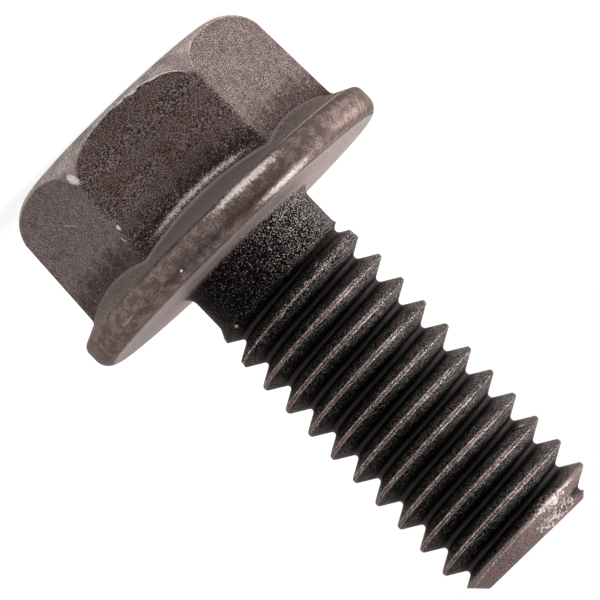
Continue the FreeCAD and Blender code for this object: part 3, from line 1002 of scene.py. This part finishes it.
# The crystals' pale colour is partly a painted glint.
crystals_and_painted_glints = add_node(tree, RANGE, SMOOTH, Value=glint_with_painted_light, From_Min=0.575, From_Max=0.63)
off_root = add_node(tree, RANGE, SMOOTH, Value=radius, From_Min=ROOT_EDGE, From_Max=ROOT_EDGE + 0.4,
                    To_Min=0.08, To_Max=1.0)
shown_crystals_and_glints = add_node(tree, MATH, MULTIPLY, _0=crystals_and_painted_glints, _1=off_root)
gritty = add_node(tree, MIX, COLOURS, Factor=shown_crystals_and_glints, A=colour("#0c0b0b"), B=colour("#dbd2ce"))
in_root = add_node(tree, RANGE, SMOOTH, Value=radius, From_Min=ROOT_EDGE + 0.02, From_Max=ROOT_EDGE - 0.04)
groove_tone = add_node(tree, MIX, COLOURS, Factor=in_root, A=gritty, B=colour("#2e2b2b"))
print("the roots reach", round(ROOT_EDGE, 2), "mm from the axis")

# %% Tones of the crests and the point
crest_side = add_node(tree, RANGE, SMOOTH, Value=sideways, From_Min=-1.2, From_Max=-3.2)
crest_tone = add_node(tree, MIX, COLOURS, Factor=crest_side, A=colour("#66524c"), B=colour("#3f3836"))
point_tone = add_node(tree, MIX, COLOURS, Factor=out_of_pits, A=colour("#5b4b48"), B=colour("#96837f"))
print("nodes:", len(tree.nodes))

# %% [markdown]
# ### Bare steel and painted highlights
#
# Where bolts strike and rub each other the oxide is gone and bright steel shows: on the arcs over the
# flats, in bits on the crests, and in the marks. The same palest tone is also painted as highlights: a
# line along the foot of the flats, most on the front one, the rim's edge on the lamps' side, two bands
# across the rim, the crests' edges in a band across the front, and two short marks on crests. A second
# material would need its own faces. So this is the last and palest layer, and the grain breaks up its
# lines, as wear takes the high grains first.

# %% Lines of wear and painted highlights on the head
FOOT_HIGHLIGHT_CENTRE = (0, -6.3, 5.6)
RUBBED_ARC = (-1.7, -6.1, 0.45)
# Painted highlight: a bright line along the foot of the flats, strongest on the front one.
front = add_node(tree, VECTOR, DISTANCE, _0=place, _1=FOOT_HIGHLIGHT_CENTRE)
foot_highlight_reach = add_node(tree, RANGE, SMOOTH, Value=front, From_Min=1.6, From_Max=3.4, To_Min=0.85,
                       To_Max=0.25)
painted_foot_highlight = add_node(tree, MATH, MULTIPLY, _0=foot_highlight_line, _1=foot_highlight_reach)
from_arc = add_node(tree, VECTOR, DISTANCE, _0=place, _1=RUBBED_ARC)
rubbed_arc = add_node(tree, RANGE, SMOOTH, Value=from_arc, From_Min=1.3, From_Max=2.2, To_Min=1.6,
                      To_Max=0.1)
arc_rub = add_node(tree, MATH, MULTIPLY, _0=arc_line, _1=rubbed_arc)
# Painted highlight: the rim's edge is painted bright on the lamps' side.
painted_rim_edge_highlight = add_node(tree, MATH, MULTIPLY, _0=rim_highlight_line, _1=lamp_side_painted_light)
arc_wear_and_foot_highlight = add_node(tree, MATH, ADD, _0=arc_rub, _1=painted_foot_highlight)
wear_and_highlight_lines = add_node(tree, MATH, LARGER, _0=arc_wear_and_foot_highlight, _1=painted_rim_edge_highlight)
speckled = add_node(tree, MATH, MULTIPLY, _0=wear_and_highlight_lines, _1=grain)
worn_and_highlight_lines = add_node(tree, RANGE, SMOOTH, Value=speckled, From_Min=0.05, From_Max=0.3)
print("nodes:", len(tree.nodes))

# %% Bits of wear on the crests, and painted highlights on their edges
lit_crest = add_node(tree, RANGE, Value=crest_side, To_Min=1.0, To_Max=0.85)
crest_grain = add_node(tree, MATH, MULTIPLY, _0=crest, _1=lit_crest)
crest_bits = add_node(tree, MATH, MULTIPLY, _0=crest_grain, _1=glint_with_painted_light)
worn_crests = add_node(tree, RANGE, SMOOTH, Value=crest_bits, From_Min=0.5, From_Max=0.6)
# Painted highlight: the crests' edges are painted bright in a band across the front, toward the lamps' side.
crest_edge = add_node(tree, MATH, PINGPONG, _0=crest, _1=0.5)
crest_highlight_band = add_node(tree, MATH, {"operation": "COMPARE"}, _0=sideways, _1=-0.8, _2=1.6)
crest_edge_highlight = add_node(tree, MATH, MULTIPLY, _0=crest_edge, _1=crest_highlight_band)
crest_highlight_bits = add_node(tree, MATH, MULTIPLY, _0=crest_edge_highlight, _1=grain)
painted_crest_highlights = add_node(tree, RANGE, SMOOTH, Value=crest_highlight_bits, From_Min=0.23, From_Max=0.28)
worn_and_highlit_thread = add_node(tree, MATH, LARGER, _0=worn_crests, _1=painted_crest_highlights)
# This mask holds both wear and painted highlights.
worn = add_node(tree, MATH, LARGER, _0=worn_and_highlight_lines, _1=worn_and_highlit_thread)
bare_steel_and_highlights = add_node(tree, MATH, LARGER, _0=worn, _1=bare_and_highlights)
print("nodes:", len(tree.nodes))

# %% [markdown]
# ### One skin
#
# On the bolt the tones fade into each other, as they are one skin. A material for each would leave hard
# borders. So they are laid over one another as a painter glazes, each with its mask as a stencil: the
# flats' tone lies under all of them, and the bare steel and the painted highlights over all.

# %% Lay the tones over one another
LAYERS = (
    (crown, crown_tone),
    (underside, under_tone),
    (pressed, rim_tone),
    (cone, colour("#918484")),
    (grainy_cone, cone_tone),
    (black, groove_tone),
    (crest, crest_tone),
    (rubbed_point, point_tone),
    (stained, colour("#46302b")),
    # The palest tone is bare steel in the wear and the marks, and painted highlight in the lines, bands and
    # crest marks.
    (bare_steel_and_highlights, colour("#f0e2dd")),
)
skin = flat_tone
for mask, tone in LAYERS:
    skin = add_node(tree, MIX, COLOURS, Factor=mask, A=skin, B=tone)
print("layers:", len(LAYERS))

# %% [markdown]
# ### The relief
#
# The crystals stand up as grit: coarse in the black, finer on the flats, torn up in the marks, and hardly
# any where the die or the rolls pressed the steel smooth. Forging also leaves shallow dents. Faces would
# have to be far smaller than a grain to carry that, so a Bump node only tilts how the light falls.

# %% The relief
GRIT_ON_FLATS = 0.045
GRIT_ON_BLACK = 0.1
DENT_DEPTH = 0.1
TORN = 1.6
grit = add_node(tree, RANGE, Value=black, To_Min=GRIT_ON_FLATS, To_Max=GRIT_ON_BLACK)
rolled_smooth = add_node(tree, MATH, LARGER, _0=crest, _1=in_root)
pressed_smooth = add_node(tree, MATH, {"operation": "SUBTRACT"}, _0=pressed, _1=grainy_cone)
smoothed = add_node(tree, MATH, LARGER, _0=pressed_smooth, _1=rolled_smooth)
left_grit = add_node(tree, RANGE, Value=smoothed, To_Min=1.0, To_Max=0.25)
torn = add_node(tree, MATH, MULTIPLY, _0=bare_and_highlights, _1=TORN)
torn_grit = add_node(tree, MATH, LARGER, _0=left_grit, _1=torn)
grain_size = add_node(tree, MATH, MULTIPLY, _0=grit, _1=torn_grit)
chamfer_grit = add_node(tree, RANGE, Value=rubbed_point, To_Min=1.0, To_Max=0.6)
point_size = add_node(tree, MATH, MULTIPLY, _0=grain_size, _1=chamfer_grit)
relief = add_node(tree, MATH, MULTIPLY, _0=grain, _1=point_size)
hammered = add_node(tree, MATH, MULTIPLY_ADD, _0=dents, _1=DENT_DEPTH, _2=relief)
bump = add_node(tree, "ShaderNodeBump", Height=hammered, Strength=1.0, Distance=MM)
print("the grit is", GRIT_ON_BLACK, "mm high in the black")

# %% The surface
# Under its thin skin the steel mirrors dimly and broadly, more broadly still on the pressed cone. The
# grey tint keeps the mirror dim at a glancing view too, as oxide does.
OXIDE_METALLIC = 0.85
STEEL_METALLIC = 0.9
OXIDE_ROUGHNESS = 0.42
CONE_ROUGHNESS = 0.62
metallic = add_node(tree, RANGE, Value=bare_and_highlights, To_Min=OXIDE_METALLIC, To_Max=STEEL_METALLIC)
roughness = add_node(tree, RANGE, Value=cone, To_Min=OXIDE_ROUGHNESS, To_Max=CONE_ROUGHNESS)
surface = add_node(tree, "ShaderNodeBsdfPrincipled", Base_Color=skin, Metallic=metallic,
                   Roughness=roughness, Specular_Tint=colour("#b4aaa8"), Normal=bump)
add_node(tree, "ShaderNodeOutputMaterial", Surface=surface)
print("nodes in all:", len(tree.nodes))

# %% Put the finish on the bolt
bolt.data.materials.clear()
bolt.data.materials.append(material)
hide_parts("flange_bolt")
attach(bolt, "root")
print("finish:", material.name)
